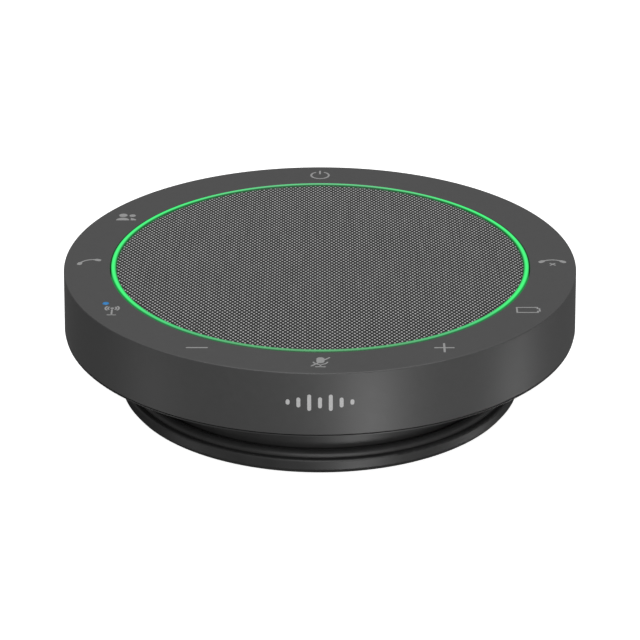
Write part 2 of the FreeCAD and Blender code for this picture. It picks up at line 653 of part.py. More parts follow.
def rounded_bar(name, frame, length, width, height, edge, ahead):
    """A bar along the frame's X axis with rounded long edges, its rear end ahead of the origin."""
    bar = doc.addObject("Part::Box", name + "_bar")
    bind(bar, Length=length, Width=width, Height=height)
    doc.recompute()
    corner = Vector(ahead, -bar.Width.Value / 2, -bar.Height.Value / 2)
    bar.Placement = frame.multiply(Placement(corner, Rotation()))
    doc.recompute()
    forward = frame.Rotation.multVec(Vector(1, 0, 0))
    long_edges = [i for i, side in enumerate(bar.Shape.Edges, start=1)
                  if abs(side.tangentAt(side.FirstParameter).dot(forward)) > 0.999]
    fillet = doc.addObject("Part::Fillet", name)
    fillet.Base = bar
    fillet.Edges = [(i, edge, edge) for i in long_edges]
    return fillet


def plug(rear, degrees):
    """The USB-C plug at the end of the lead: boot, moulded grip and metal shell."""
    frame = Placement(rear, Rotation(Vector(0, 0, 1), degrees))
    boot = doc.addObject("Part::Cone", "plug_boot_cone")
    bind(boot, Radius1="plug_boot_rear", Radius2="plug_boot_front", Height="plug_boot_length")
    boot.Placement = frame.multiply(Placement(Vector(), Rotation(Vector(0, 1, 0), 90)))
    keep("plug_boot", boot)
    grip_front = size("plug_boot_length") + size("plug_length")
    hollow_rear = grip_front + size("shell_length") - size("shell_depth")
    keep("plug_body", rounded_bar("plug_grip", frame, "plug_length", "plug_width",
                                  "plug_height", size("plug_edge"), size("plug_boot_length")))
    outside = rounded_bar("shell_outside", frame, "shell_length", "shell_width",
                          "shell_height", size("shell_edge"), grip_front)
    inside = rounded_bar("shell_inside", frame, "shell_depth + overcut",
                         "shell_width - 2 * shell_wall", "shell_height - 2 * shell_wall",
                         size("shell_edge") - size("shell_wall"), hollow_rear)
    keep("plug_shell", taken("shell_hollow", outside, inside))


def check_and_write():
    """Stop on anything that failed, then write each sub-part to its own file."""
    doc.recompute()
    for item in doc.Objects:
        if "Invalid" in item.State or "Error" in item.State:
            raise RuntimeError(f"{item.Label} failed: {item.State}")
    os.makedirs("parts", exist_ok=True)
    for name, thing in nodes.items():
        shape = thing.Shape
        if shape.isNull() or not shape.isValid() or not shape.Solids:
            raise RuntimeError(f"{name} has no valid solid")
        shape.exportStep(f"parts/{name}.step")
        print(f"{name}: {len(shape.Solids)} solid, {shape.Volume:.0f} mm3")
    print(f"{len(nodes)} nodes")


soft_skin()
top_frame()
keys()
main_board()
light_ring()
grille()
loudspeaker()
battery()
lower_shell()
neck_shell()
base()
cable_boot()
plug(*lead())
check_and_write()
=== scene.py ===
"""The looks of a conference speakerphone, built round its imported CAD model.

Sizes are in millimetres and become metres where a mesh is made. +Z is up and the front faces -Y.
"""
import json
import math

import bmesh
import bpy
import numpy as np
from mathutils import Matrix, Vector

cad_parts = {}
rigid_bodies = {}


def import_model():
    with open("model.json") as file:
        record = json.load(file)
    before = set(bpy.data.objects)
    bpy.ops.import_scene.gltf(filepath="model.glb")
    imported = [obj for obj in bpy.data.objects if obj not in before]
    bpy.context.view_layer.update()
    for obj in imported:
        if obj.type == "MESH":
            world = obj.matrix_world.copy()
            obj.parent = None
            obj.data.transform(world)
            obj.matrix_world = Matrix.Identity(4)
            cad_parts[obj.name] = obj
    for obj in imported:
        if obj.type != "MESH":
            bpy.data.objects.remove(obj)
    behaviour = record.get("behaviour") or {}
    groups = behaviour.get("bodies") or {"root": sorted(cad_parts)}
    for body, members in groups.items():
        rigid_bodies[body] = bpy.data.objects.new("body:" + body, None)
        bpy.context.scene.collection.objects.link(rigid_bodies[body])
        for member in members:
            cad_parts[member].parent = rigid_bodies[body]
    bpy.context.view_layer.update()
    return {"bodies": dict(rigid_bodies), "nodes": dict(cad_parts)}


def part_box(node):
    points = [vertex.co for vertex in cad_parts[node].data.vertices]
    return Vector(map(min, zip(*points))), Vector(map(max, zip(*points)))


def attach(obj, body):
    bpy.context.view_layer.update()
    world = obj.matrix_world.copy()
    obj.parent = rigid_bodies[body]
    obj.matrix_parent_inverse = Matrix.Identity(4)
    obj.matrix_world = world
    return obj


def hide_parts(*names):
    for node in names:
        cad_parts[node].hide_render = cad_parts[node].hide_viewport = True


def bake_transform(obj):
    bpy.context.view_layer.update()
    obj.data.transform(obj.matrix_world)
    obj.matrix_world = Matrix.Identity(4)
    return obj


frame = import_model()

MM = 0.001

# the camera, about the centre of the disc's top
CAMERA_DISTANCE = 789.1
CAMERA_RISE = 23.71
CAMERA_DIP = 24.79
CAMERA_LENS = 171.97
CAMERA_SENSOR = 36.0
CAMERA_CLIP = (0.01, 50.0)

# how finely round things are divided
TURN_STEPS = 720
STEP = 360 / TURN_STEPS
CORNER_STEPS = 6
SKIN_CORNER_STEPS = 8


def span(node):
    """Lowest and highest corner of a CAD node, in millimetres."""
    low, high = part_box(node)
    return low / MM, high / MM


def middle(node):
    low, high = span(node)
    return (low + high) / 2


# sizes read from the frame
DISC_RADIUS = span("soft_skin")[1].x
DISC_TOP = span("soft_skin")[1].z
SKIN_FOOT = span("soft_skin")[0].z
LIGHT_OUTER = span("light_guide")[1].x
LIGHT_TOP = span("light_guide")[1].z
LIGHT_FOOT = span("light_guide")[0].z
CLOTH_RADIUS = span("grille_cloth")[1].x
CLOTH_TOP = span("grille_cloth")[1].z
CLOTH_FOOT = span("grille_cloth")[0].z
KEYS = [name[:-len("_key")] for name in frame["bodies"] if name.endswith("_key")]
KEY_PLACES = {key: middle("stem_" + key) for key in KEYS}

# the skin
SKIN_THICKNESS = 0.9
SKIN_BORE = LIGHT_OUTER + 0.15
SKIN_EDGE = 0.3
WALL_LEAN = 0.3
SKIN_FOOT_EDGE = 0.25
BORE_EDGE = 0.15
RING_TOP = DISC_TOP - 0.01
PATCH_INNER = 54.9
PATCH_OUTER = 65.2
PATCH_HALF_ANGLE = 9.0
PATCH_RINGS = 24
DIMPLE_REACH = (3.4, 5.6)
SAME_PLACE = 0.001

# signs printed on the skin
INK_TOP = 0.015
WALL_INK_TOP = 0.03
INK_FOOT = -0.006
SLASH_LIFT = 0.004
SPECK_SIZE = 0.2
SIGN_OFFSET = 0.35
SIGN_SHIFTS = {"people": (0.15, 0.15), "answer": (0.1, 0.75), "wireless": (0.1, 0.5),
               "volume_down": (0.1, 0.5), "mute": (0.1, 0.35), "volume_up": (0.2, 0.45),
               "battery": (0.15, 0.5), "end_call": (-0.05, 0.1)}
LINE = 0.52
THIN_LINE = 0.42
MAST_LINE = 0.45
BAR_CAP = 12
HANDSET_POINTS = 41
HANDSET_GRIP = 0.5
HANDSET_SWELL = 0.75
HANDSET_SWELL_START = 0.66
HANDSET_SWELL_SLOPE = 28
LEVEL_HEIGHTS = (1.4, 2.6, 4.3, 2.9, 4.3, 2.6, 1.4)
LEVEL_PITCH = 2.6
LEVEL_WIDTH = 0.95
LEVEL_CENTRE = 28.3
LEVEL_LEAST = 0.05

# light ring: its lip, the leg under it, and where its glow fades at both edges
LIGHT_EDGE = LIGHT_OUTER - 0.15
LIGHT_INNER = LIGHT_EDGE - 1.25
LIGHT_RISE = 0.1
LIGHT_ROUNDING = 0.15
LIGHT_SHOULDER = LIGHT_TOP - 2.1
LIGHT_ROOF = LIGHT_TOP - 3.1
LEG_INNER = LIGHT_OUTER - 2.95
LEG_OUTER = LIGHT_OUTER - 2.15
LAMPS = 24
FADE_INNER = 0.45
FADE_OUTER = 0.3
GLOW_AT_INNER = 0.12
GLOW_AT_OUTER = 0.28

# status light
LENS_RADIUS = 0.82
LENS_RISE = 0.2
LENS_DEPTH = 1.3
LENS_RINGS = 5
LENS_STEPS = 32

# cloth
WEAVE_X = 0.608
WEAVE_Y = 0.896
WEAVE_SAMPLES_X = 2
WEAVE_SAMPLES_Y = 3
CREST = 0.10
CLOTH_MARGIN = 0.1
YARN_SIZE = 0.5
FIBRE_SIZE = 0.07
YARN_SHARE = 0.35
FIBRE_SHARE = 0.3
UNEVEN_MIDDLE = 0.32
# hollow grey: painted shade with the dark behind the weave; crest grey: the yarn's grey with
# painted light
HOLLOW_DARK_AND_SHADE_GREY = 0.006
CREST_YARN_AND_LIGHT_GREY = 0.51


# ---------------------------------------------------------------- meshes

def make(name, vertices, faces, sharp=35.0):
    """A mesh object from millimetres, its normals outward and its sharp edges kept."""
    mesh = bpy.data.meshes.new(name)
    mesh.from_pydata([[c * MM for c in v] for v in vertices], [], faces)
    shape = bmesh.new()
    shape.from_mesh(mesh)
    bmesh.ops.recalc_face_normals(shape, faces=shape.faces)
    shape.to_mesh(mesh)
    shape.free()
    mesh.shade_smooth()
    mesh.set_sharp_from_angle(angle=math.radians(sharp))
    piece = bpy.data.objects.new(name, mesh)
    bpy.context.scene.collection.objects.link(piece)
    return piece


def softened(corners, steps=CORNER_STEPS):
    """An outline of (radius, height, rounding) corners with each rounded corner as an arc."""
    outline = []
    count = len(corners)
    for i, (x, z, rounding) in enumerate(corners):
        here = Vector((x, z))
        if not rounding:
            outline.append(here)
            continue
        back = (Vector(corners[i - 1][:2]) - here).normalized()
        ahead = (Vector(corners[(i + 1) % count][:2]) - here).normalized()
        half = back.angle(ahead) / 2
        centre = here + (back + ahead).normalized() * rounding / math.sin(half)
        first = here + back * rounding / math.tan(half) - centre
        last = here + ahead * rounding / math.tan(half) - centre
        turn = first.angle_signed(last)
        for k in range(steps + 1):
            cos, sin = math.cos(-turn * k / steps), math.sin(-turn * k / steps)
            outline.append(centre + Vector((first.x * cos - first.y * sin,
                                            first.x * sin + first.y * cos)))
    return outline


def round_the_axis(outline):
    """Vertices of a closed outline turned about the Z axis, ring by ring."""
    angles = np.radians(np.arange(TURN_STEPS) * 360 / TURN_STEPS)
    return [(p.x * math.cos(a), p.x * math.sin(a), p.y) for p in outline for a in angles]


def ring_vertex(rings, k, j):
    """The index of vertex j of ring k; both wrap round."""
    return k % rings * TURN_STEPS + j % TURN_STEPS


def lathe(name, corners):
    """A closed solid of revolution."""
    outline = softened(corners)
    rings = len(outline)
    faces = [(ring_vertex(rings, k, j), ring_vertex(rings, k, j + 1),
              ring_vertex(rings, k + 1, j + 1), ring_vertex(rings, k + 1, j))
             for k in range(rings) for j in range(TURN_STEPS)]
    return make(name, round_the_axis(outline), faces)


# ---------------------------------------------------------------- the skin

def key_angle(key):
    """The polar angle of a key in degrees, to the nearest step of the skin's rings."""
    place = KEY_PLACES[key]
    return round(math.degrees(math.atan2(place.y, place.x)) / STEP) * STEP % 360


def skin():
    """The seamless cover of ring and wall, open where the nine patches over the keys sit."""
    wall = DISC_RADIUS - SKIN_THICKNESS
    under = RING_TOP - SKIN_THICKNESS
    outline = softened([
        (SKIN_BORE, under, 0), (SKIN_BORE, RING_TOP, BORE_EDGE), (PATCH_INNER, RING_TOP, 0),
        (PATCH_OUTER, RING_TOP, 0), (DISC_RADIUS - WALL_LEAN, RING_TOP, SKIN_EDGE),
        (DISC_RADIUS, SKIN_FOOT, SKIN_FOOT_EDGE), (wall, SKIN_FOOT, 0), (wall, under, 0),
        (PATCH_OUTER, under, 0), (PATCH_INNER, under, 0)], SKIN_CORNER_STEPS)
    rings = len(outline)

    def band(x, height):
        return next(k for k, p in enumerate(outline)
                    if max(abs(p.x - x), abs(p.y - height)) < SAME_PLACE)

    corners = [band(PATCH_INNER, RING_TOP), band(PATCH_OUTER, RING_TOP),
               band(PATCH_OUTER, under), band(PATCH_INNER, under)]
    open_bands = {corners[0], corners[2]}
    half = round(PATCH_HALF_ANGLE / STEP)
    starts = [round(key_angle(key) / STEP) - half for key in KEYS]
    windows = {(start + j) % TURN_STEPS for start in starts for j in range(2 * half)}

    def at(k, j):
        return ring_vertex(rings, k, j)

    faces = [(at(k, j), at(k, j + 1), at(k + 1, j + 1), at(k + 1, j))
             for k in range(rings) for j in range(TURN_STEPS)
             if not (k in open_bands and j in windows)]
    for start in starts:
        faces += [tuple(at(k, j) for k in corners) for j in (start, start + 2 * half)]
        for top, bottom in ((corners[0], corners[3]), (corners[1], corners[2])):
            faces += [(at(top, j), at(top, j + 1), at(bottom, j + 1), at(bottom, j))
                      for j in range(start, start + 2 * half)]
    return make("skin", round_the_axis(outline), faces)


def patch(key):
    """The part of the skin over one key, a hair proud in the middle."""
    angle = math.radians(key_angle(key))
    columns = 2 * round(PATCH_HALF_ANGLE / STEP)
    circle = (PATCH_INNER + PATCH_OUTER) / 2
    reach = ((PATCH_OUTER - PATCH_INNER) / 2, math.radians(PATCH_HALF_ANGLE) * circle)
    tops, feet = [], []
    for i in range(PATCH_RINGS + 1):
        r = PATCH_INNER + (PATCH_OUTER - PATCH_INNER) * i / PATCH_RINGS
        for j in range(columns + 1):
            turn = math.radians(PATCH_HALF_ANGLE) * (2 * j / columns - 1)
            away = []
            for offset, full, core in zip((r - circle, turn * circle), reach, DIMPLE_REACH):
                away.append(max(0.0, (abs(offset) - core) / (full - core)))
            lift = max(0.0, 1.0 - math.hypot(*away))
            x, y = r * math.cos(angle + turn), r * math.sin(angle + turn)
            tops.append((x, y, RING_TOP + (DISC_TOP - RING_TOP) * lift))
            feet.append((x, y, RING_TOP - SKIN_THICKNESS))
    wide = columns + 1
    faces = []
    for base in (0, len(tops)):
        faces += [(base + i * wide + j, base + i * wide + j + 1,
                   base + (i + 1) * wide + j + 1, base + (i + 1) * wide + j)
                  for i in range(PATCH_RINGS) for j in range(columns)]
    border = (list(range(wide)) + [i * wide + columns for i in range(1, PATCH_RINGS + 1)]
              + [PATCH_RINGS * wide + j for j in range(columns - 1, -1, -1)]
              + [i * wide for i in range(PATCH_RINGS - 1, 0, -1)])
    faces += [(a, b, b + len(tops), a + len(tops))
              for a, b in zip(border, border[1:] + border[:1])]
    return make("skin_over_" + key, tops + feet, faces)


# ---------------------------------------------------------------- flat signs
# Every sign is drawn in millimetres about its own middle.

def arc(x, y, radius, start, end, count):
    """Points of an arc about (x, y), from one angle to another in degrees."""
    return [(x + radius * math.cos(math.radians(a)), y + radius * math.sin(math.radians(a)))
            for a in np.linspace(start, end, count)]


def headings(points, closed=False):
    """Each point's direction along a line, and how much a mitre there widens it."""
    points = np.array(points, float)
    if closed:
        ahead = np.roll(points, -1, axis=0) - points
        ahead /= np.linalg.norm(ahead, axis=1)[:, None]
        before = np.roll(ahead, 1, axis=0)
    else:
        ahead = np.diff(points, axis=0)
        ahead /= np.linalg.norm(ahead, axis=1)[:, None]
        before, ahead = np.vstack([ahead[:1], ahead]), np.vstack([ahead, ahead[-1:]])
    along = before + ahead
    along /= np.linalg.norm(along, axis=1)[:, None]
    return along, 1 / np.sum(along * ahead, axis=1)


def stroke(points, width=LINE, cap=6):
    """The outline of a line with round ends; the width is one number or one for each point."""
    points = np.array(points, float)
    along, mitre = headings(points)
    halves = np.broadcast_to(np.array(width, float) / 2, len(points))
    side = np.column_stack([-along[:, 1], along[:, 0]]) * (halves * mitre)[:, None]

    def end(point, heading, half):
        base = math.degrees(math.atan2(heading[1], heading[0]))
        return arc(*point, half, base - 90, base + 90, cap + 2)[1:-1]

    return [*map(tuple, points - side), *end(points[-1], along[-1], halves[-1]),
            *map(tuple, (points + side)[::-1]), *end(points[0], -along[0], halves[0])]


def frame_stroke(points, width):
    """The outer and inner outline of a closed line."""
    points = np.array(points, float)
    along, mitre = headings(points, closed=True)
    side = np.column_stack([-along[:, 1], along[:, 0]]) * (width / 2 * mitre)[:, None]
    return [tuple(p) for p in points - side], [tuple(p) for p in points + side]


def cross(width, height, line, turn=0.0):
    """The outline of two bars that cross in the middle."""
    x, y, h = width / 2, height / 2, line / 2
    corners = [(x, -h), (x, h), (h, h), (h, y), (-h, y), (-h, h), (-x, h), (-x, -h), (-h, -h),
               (-h, -y), (h, -y), (h, -h)]
    c, s = math.cos(math.radians(turn)), math.sin(math.radians(turn))
    return [(a * c - b * s, a * s + b * c) for a, b in corners]


def moved(shape, x, y):
    return [(a + x, b + y) for a, b in shape]


def handset(chord, rise, turn=0.0):
    """A telephone handset: a bowed grip, thin in the middle and thick at both ends."""
    radius = (chord ** 2 / 4 + rise ** 2) / (2 * rise)
    half = math.degrees(math.asin(chord / 2 / radius))
    line = arc(0, -radius + rise / 2, radius, 90 + half + turn, 90 - half + turn,
               HANDSET_POINTS)
    c, s = math.cos(math.radians(turn)), math.sin(math.radians(turn))
    shift = (rise / 2 - radius) * np.array([-s, c]) - np.array([0, rise / 2 - radius])
    widths = [HANDSET_GRIP + HANDSET_SWELL / (
        1 + math.exp(-HANDSET_SWELL_SLOPE * (abs(2 * t - 1) - HANDSET_SWELL_START)))
              for t in np.linspace(0, 1, HANDSET_POINTS)]
    return stroke(np.array(line) + shift, widths)


def power_sign():
    return [stroke(arc(0, -0.3, 2.43, 121, 419, 48)), stroke([(0, 2.75), (0, 0.75)])]


def people_sign():
    """Two people side by side, the nearer one larger."""
    near = arc(-0.75, -2.3, 1.75, 0, 180, 24)
    far = arc(1.6, -2.3, 1.25, 0, 62, 12) + [(1.35, -0.62), (1.4, -2.3)]
    return [arc(-0.75, 1.1, 1.12, 0, 350, 32), near, arc(1.75, 0.85, 0.85, 0, 350, 28), far]


def answer_sign():
    return [handset(5.5, 1.35, turn=27.0)]


def wireless_sign():
    """A mast with waves on both sides of its tip."""
    waves = [stroke(arc(0, 1.0, radius, middle_angle - 40, middle_angle + 40, 16),
                    MAST_LINE)
             for radius in (1.05, 1.7) for middle_angle in (0, 180)]
    return [arc(0, 1.0, 0.45, 0, 350, 24), stroke([(0, 0.1), (0, -2.7)], MAST_LINE),
            stroke([(-1.0, -2.95), (1.0, -2.95)], 0.4)] + waves


def volume_down_sign():
    return [stroke([(-2.45, 0), (2.45, 0)])]


def volume_up_sign():
    return [cross(4.9, 5.1, LINE)]


def mute_sign():
    """A microphone struck through."""
    cradle = arc(0, 0.45, 1.75, 195, 345, 24)
    return [stroke([(0, 0.45), (0, 1.75)], 1.95, BAR_CAP), stroke(cradle, THIN_LINE),
            stroke([(0, -1.5), (0, -2.3)], THIN_LINE),
            stroke([(-1.1, -2.55), (1.1, -2.55)], THIN_LINE)]


def mute_slash_sign():
    return [stroke([(2.15, 2.5), (-2.15, -2.1)], MAST_LINE)]


def battery_sign():
    left, right, nub, y, step = -3.0, 2.15, 2.65, 1.5, 0.75
    return [frame_stroke([(left, -y), (right, -y), (right, -step), (nub, -step), (nub, step),
                          (right, step), (right, y), (left, y)], THIN_LINE)]


def end_call_sign():
    return [moved(handset(6.0, 1.35), 0, 0.75),
            moved(cross(2.0, 2.0, THIN_LINE, 45), 0, -1.35)]


def print_shapes(name, shapes, place, top=INK_TOP):
    """Thin raised ink. place(x, y, height) puts a flat point on the surface it is printed on."""
    vertices, faces = [], []
    for shape in shapes:
        loops = shape if isinstance(shape, tuple) else (shape,)
        starts = []
        for loop in loops:
            starts.append(len(vertices))
            vertices += [place(x, y, INK_FOOT) for x, y in loop]
            vertices += [place(x, y, top) for x, y in loop]
        for start, loop in zip(starts, loops):
            n = len(loop)
            faces += [(start + i, start + (i + 1) % n, start + n + (i + 1) % n, start + n + i)
                      for i in range(n)]
        n = len(loops[0])
        if len(loops) == 1:
            faces += [tuple(range(starts[0], starts[0] + n)),
                      tuple(range(starts[0] + n, starts[0] + 2 * n))]
            continue
        for level in (0, n):
            a, b = starts[0] + level, starts[1] + level
            faces += [(a + i, a + (i + 1) % n, b + (i + 1) % n, b + i) for i in range(n)]
    return make(name, vertices, faces)


def key_sign(name, key, shapes, lift=0.0):
    """A sign over one key, upright as seen from the front."""
    centre = KEY_PLACES[key]
    out = Vector((centre.x, centre.y)).normalized() * SIGN_OFFSET
    right, back = SIGN_SHIFTS.get(key, (0.0, 0.0))
    return print_shapes(name, shapes, lambda x, y, height: (
        centre.x + out.x + right + x, centre.y + out.y + back + y, DISC_TOP + height + lift))


def level_mark():
    """A row of rounded bars of different heights, the sign of sound, on the front wall."""
    first = -(len(LEVEL_HEIGHTS) - 1) / 2 * LEVEL_PITCH
    bars = []
    for i, height in enumerate(LEVEL_HEIGHTS):
        x, reach = first + i * LEVEL_PITCH, max(LEVEL_LEAST, (height - LEVEL_WIDTH) / 2)
        bars.append(stroke([(x, -reach), (x, reach)], LEVEL_WIDTH, BAR_CAP))

    def on_the_wall(x, y, height):
        z = LEVEL_CENTRE + y
        lean = WALL_LEAN * (z - SKIN_FOOT) / (RING_TOP - SKIN_FOOT)
        r, turn = DISC_RADIUS - lean + height, x / DISC_RADIUS - math.pi / 2
        return r * math.cos(turn), r * math.sin(turn), z

    return print_shapes("level_mark", bars, on_the_wall, WALL_INK_TOP)


# ---------------------------------------------------------------- cloth and lights

def woven_cloth():
    """The grille cloth: a plain weave's crests and hollows as relief, closed underneath."""
    step_x, step_y = WEAVE_X / WEAVE_SAMPLES_X, WEAVE_Y / WEAVE_SAMPLES_Y
    across = np.arange(-int(CLOTH_RADIUS / step_x) - 1, int(CLOTH_RADIUS / step_x) + 2) * step_x
    up = np.arange(-int(CLOTH_RADIUS / step_y) - 1, int(CLOTH_RADIUS / step_y) + 2) * step_y
    x, y = np.meshgrid(across, up)
    index = np.arange(x.size).reshape(x.shape)
    from_middle = np.hypot(x[:-1, :-1] + step_x / 2, y[:-1, :-1] + step_y / 2)
    inside = from_middle < CLOTH_RADIUS - CLOTH_MARGIN
    quads = np.stack([index[:-1, :-1][inside], index[:-1, 1:][inside],
                      index[1:, 1:][inside], index[1:, :-1][inside]], axis=1)
    used, quads = np.unique(quads, return_inverse=True)
    quads = quads.reshape(-1, 4)
    x, y = x.ravel()[used], y.ravel()[used]
    z = CLOTH_TOP - CREST + CREST * np.cos(math.pi * x / WEAVE_X) * np.cos(math.pi * y / WEAVE_Y)
    border = np.flatnonzero(np.bincount(quads.ravel()) < 4)
    border = border[np.argsort(np.arctan2(y[border], x[border]))]
    scale = CLOTH_RADIUS / np.hypot(x[border], y[border])
    x[border], y[border], z[border] = x[border] * scale, y[border] * scale, CLOTH_TOP - 2 * CREST
    vertices = np.column_stack([x, y, z])
    feet = vertices[border] * (1, 1, 0) + (0, 0, CLOTH_FOOT)
    count, total = len(border), len(vertices)
    faces = quads.tolist()
    faces += [(int(border[i]), int(border[(i + 1) % count]), total + (i + 1) % count, total + i)
              for i in range(count)]
    faces.append(tuple(range(total, total + count)))
    return make("woven_cloth", np.vstack([vertices, feet]).tolist(), faces, sharp=60)


def light_ring():
    """The glowing diffuser: a rounded lip, a trace proud, and a leg down to its board."""
    top = LIGHT_TOP + LIGHT_RISE
    return lathe("light_ring", [
        (LEG_INNER, LIGHT_FOOT, 0), (LEG_OUTER, LIGHT_FOOT, 0), (LEG_OUTER, LIGHT_ROOF, 0),
        (LIGHT_EDGE, LIGHT_ROOF, 0), (LIGHT_EDGE, top, LIGHT_ROUNDING),
        (LIGHT_INNER, top, LIGHT_ROUNDING), (LIGHT_INNER, LIGHT_SHOULDER, 0),
        (LEG_INNER, LIGHT_SHOULDER, 0)])


def status_light():
    """The small domed lens beside the wireless sign."""
    centre = middle("status_lens")
    vertices = [(centre.x, centre.y, DISC_TOP + LENS_RISE)]
    for k in range(1, LENS_RINGS + 1):
        lean = math.pi / 2 * k / LENS_RINGS
        for j in range(LENS_STEPS):
            turn = 2 * math.pi * j / LENS_STEPS
            vertices.append((centre.x + LENS_RADIUS * math.sin(lean) * math.cos(turn),
                             centre.y + LENS_RADIUS * math.sin(lean) * math.sin(turn),
                             DISC_TOP + LENS_RISE * math.cos(lean)))
    last = len(vertices) - LENS_STEPS
    vertices += [(x, y, z - LENS_DEPTH) for x, y, z in vertices[last:]]

    def at(k, j):
        return 1 + k * LENS_STEPS + j % LENS_STEPS

    faces = [(0, at(0, j), at(0, j + 1)) for j in range(LENS_STEPS)]
    faces += [(at(k, j), at(k + 1, j), at(k + 1, j + 1), at(k, j + 1))
              for k in range(LENS_RINGS) for j in range(LENS_STEPS)]
    faces.append(tuple(range(last + LENS_STEPS, last + 2 * LENS_STEPS)))
    return make("status_light", vertices, faces, sharp=50)


# ---------------------------------------------------------------- materials

def new_material(name, **sockets):
    """A Principled material with some of its own sockets set."""
    material = bpy.data.materials.new(name)
    material.use_nodes = True
    for socket, value in sockets.items():
        shader(material).inputs[socket.replace("_", " ")].default_value = value
    return material


def shader(material):
    return material.node_tree.nodes["Principled BSDF"]


def node(material, kind, inputs, **settings):
    made = material.node_tree.nodes.new("ShaderNode" + kind)
    for setting, value in settings.items():
        setattr(made, setting, value)
    for socket, value in inputs.items():
        if isinstance(value, bpy.types.NodeSocket):
            material.node_tree.links.new(value, made.inputs[socket])
        else:
            made.inputs[socket].default_value = value
    return made


def link(material, output, socket):
    material.node_tree.links.new(output, shader(material).inputs[socket])


def place_in(material, stretch=(1, 1, 1)):
    """The object's own coordinates, in millimetres over a stretch along each axis."""
    coordinates = node(material, "TexCoord", {}).outputs["Object"]
    scale = [1 / (MM * amount) for amount in stretch]
    return node(material, "Mapping", {"Vector": coordinates, "Scale": scale}).outputs[0]


def noise(material, size, stretch=(1, 1, 1), detail=3.0):
    """Cloudy noise with features about this many millimetres across."""
    return node(material, "TexNoise", {"Vector": place_in(material, stretch), "Scale": 1 / size,
                                       "Detail": detail}).outputs[0]


def calc(material, operation, *values):
    return node(material, "Math", dict(enumerate(values)), operation=operation).outputs[0]


def grey(level):
    return (level, level, level, 1.0)


def graded(material, factor, *stops):
    """A colour for each (position, colour) stop along a factor, mixed in between."""
    ramp = node(material, "ValToRGB", {0: factor})
    elements = ramp.color_ramp.elements
    while len(elements) < len(stops):
        elements.new(1.0)
    for element, (position, colour) in zip(elements, stops):
        element.position = position
        element.color = colour
    return ramp.outputs["Color"]


def shades(material, factor, dark, light, low=0.3, high=0.7):
    return graded(material, factor, (low, dark), (high, light))


def between(material, factor, low, high, start=0.0, end=1.0):
    """Low to high, as the factor goes from start to end."""
    return node(material, "MapRange", {"Value": factor, "From Min": start, "From Max": end,
                                       "To Min": low, "To Max": high}).outputs[0]


def relief(material, factor, height):
    """Bump of this many millimetres."""
    return node(material, "Bump", {"Height": factor, "Distance": height * MM}).outputs[0]


def grained(name, dark, light, grain, height, roughness, stretch=(1, 1, 1), **sockets):
    """A moulded, rubbed or brushed surface: cloudy colour, uneven gloss and a fine grain."""
    material = new_material(name, **sockets)
    fine = noise(material, grain, stretch)
    cloud = noise(material, 14 * grain, stretch, 2.0)
    link(material, shades(material, calc(material, "ADD", calc(material, "MULTIPLY", fine, 0.5),
                                         calc(material, "MULTIPLY", cloud, 0.5)), dark, light),
         "Base Color")
    link(material, between(material, cloud, *roughness), "Roughness")
    link(material, relief(material, fine, height), "Normal")
    return material


def cloth_weave():
    """Light crests on dark hollows, with threads that differ a little. The grey follows the
    relief's height: the crests carry painted light on the yarn's grey, and the hollows'
    near-black is painted shade with the dark behind the weave.
    """
    material = new_material("cloth", Roughness=0.92, Sheen_Weight=0.15, Sheen_Roughness=0.5,
                            Specular_IOR_Level=0.25)
    parts = node(material, "SeparateXYZ", {"Vector": place_in(material)}).outputs
    wave_x = calc(material, "COSINE", calc(material, "MULTIPLY", parts["X"], math.pi / WEAVE_X))
    wave_y = calc(material, "COSINE", calc(material, "MULTIPLY", parts["Y"], math.pi / WEAVE_Y))
    crest = calc(material, "MULTIPLY", wave_x, wave_y)
    yarn = noise(material, YARN_SIZE, (1, 24, 1), 2.0)
    fibre = noise(material, FIBRE_SIZE, (1, 3, 1), 2.0)
    uneven = calc(material, "ADD", calc(material, "MULTIPLY", yarn, YARN_SHARE),
                  calc(material, "MULTIPLY", fibre, FIBRE_SHARE))
    level = calc(material, "ADD", crest, calc(material, "SUBTRACT", uneven, UNEVEN_MIDDLE))
    link(material, shades(material, between(material, level, 0.0, 1.0), grey(HOLLOW_DARK_AND_SHADE_GREY),
                          grey(CREST_YARN_AND_LIGHT_GREY), 0.08, 0.88), "Base Color")
    link(material, relief(material, fibre, 0.02), "Normal")
    return material


def glowing_ring():
    """Green light: strongest at the sides, weakest in front, a trace stronger at each lamp."""
    material = new_material("light", Base_Color=(0.02, 0.10, 0.04, 1), Roughness=0.4,
                            Specular_IOR_Level=0.3)
    parts = node(material, "SeparateXYZ", {"Vector": place_in(material)}).outputs
    turn = calc(material, "ARCTAN2", parts["Y"], parts["X"])
    lamps = calc(material, "COSINE", calc(material, "MULTIPLY", turn, LAMPS))
    level = calc(material, "ADD", calc(material, "MULTIPLY", lamps, 0.01),
                 between(material, calc(material, "SINE", turn), 0.0, 1.0, -1.0))
    link(material, graded(material, level, (0.0, (0.090, 0.33, 0.135, 1)),
                          (0.12, (0.055, 0.50, 0.165, 1)), (0.30, (0.030, 0.88, 0.165, 1)),
                          (0.85, (0.040, 0.88, 0.185, 1)), (1.0, (0.115, 0.56, 0.220, 1))),
         "Emission Color")
    reach = calc(material, "SQRT", calc(material, "ADD", calc(material, "POWER", parts["X"], 2.0),
                                        calc(material, "POWER", parts["Y"], 2.0)))
    inside = between(material, reach, GLOW_AT_INNER, 1.0, LIGHT_INNER, LIGHT_INNER + FADE_INNER)
    outside = between(material, reach, 1.0, GLOW_AT_OUTER, LIGHT_EDGE - FADE_OUTER, LIGHT_EDGE)
    link(material, calc(material, "MINIMUM", inside, outside), "Emission Strength")
    return material


def glowing_dot():
    """Blue light, a little uneven."""
    material = new_material("status_light", Base_Color=(0.0, 0.04, 0.12, 1), Roughness=0.5,
                            Emission_Strength=1.0)
    link(material, shades(material, noise(material, 0.3), (0.006, 0.13, 0.33, 1),
                          (0.012, 0.17, 0.41, 1)), "Emission Color")
    return material


